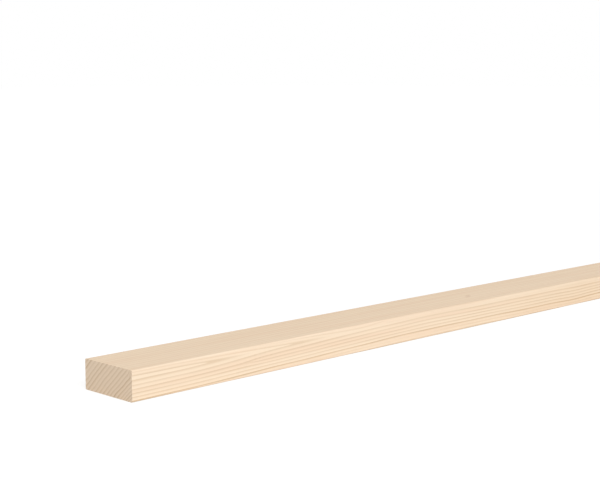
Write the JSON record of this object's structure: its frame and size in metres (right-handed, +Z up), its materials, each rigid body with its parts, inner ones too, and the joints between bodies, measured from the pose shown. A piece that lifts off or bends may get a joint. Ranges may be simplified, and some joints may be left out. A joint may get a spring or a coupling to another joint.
{
  "type": "rectangular wood strip",
  "caption": "Straight planed softwood strip of plain rectangular section, with lightly eased long edges and square-cut ends, for trim, battens, beading and light frames.",
  "frame": {"origin": "middle of the underside, at half the length and half the width", "axes": "+X along the length and the grain, +Y across the wide face, +Z up through the thickness"},
  "size_m": [0.9, 0.036, 0.015],
  "materials": {
    "planed_softwood": "planed smooth, unfinished"
  },
  "bodies": {
    "root": {"wood_strip": "planed_softwood"}
  },
  "joints": []
}
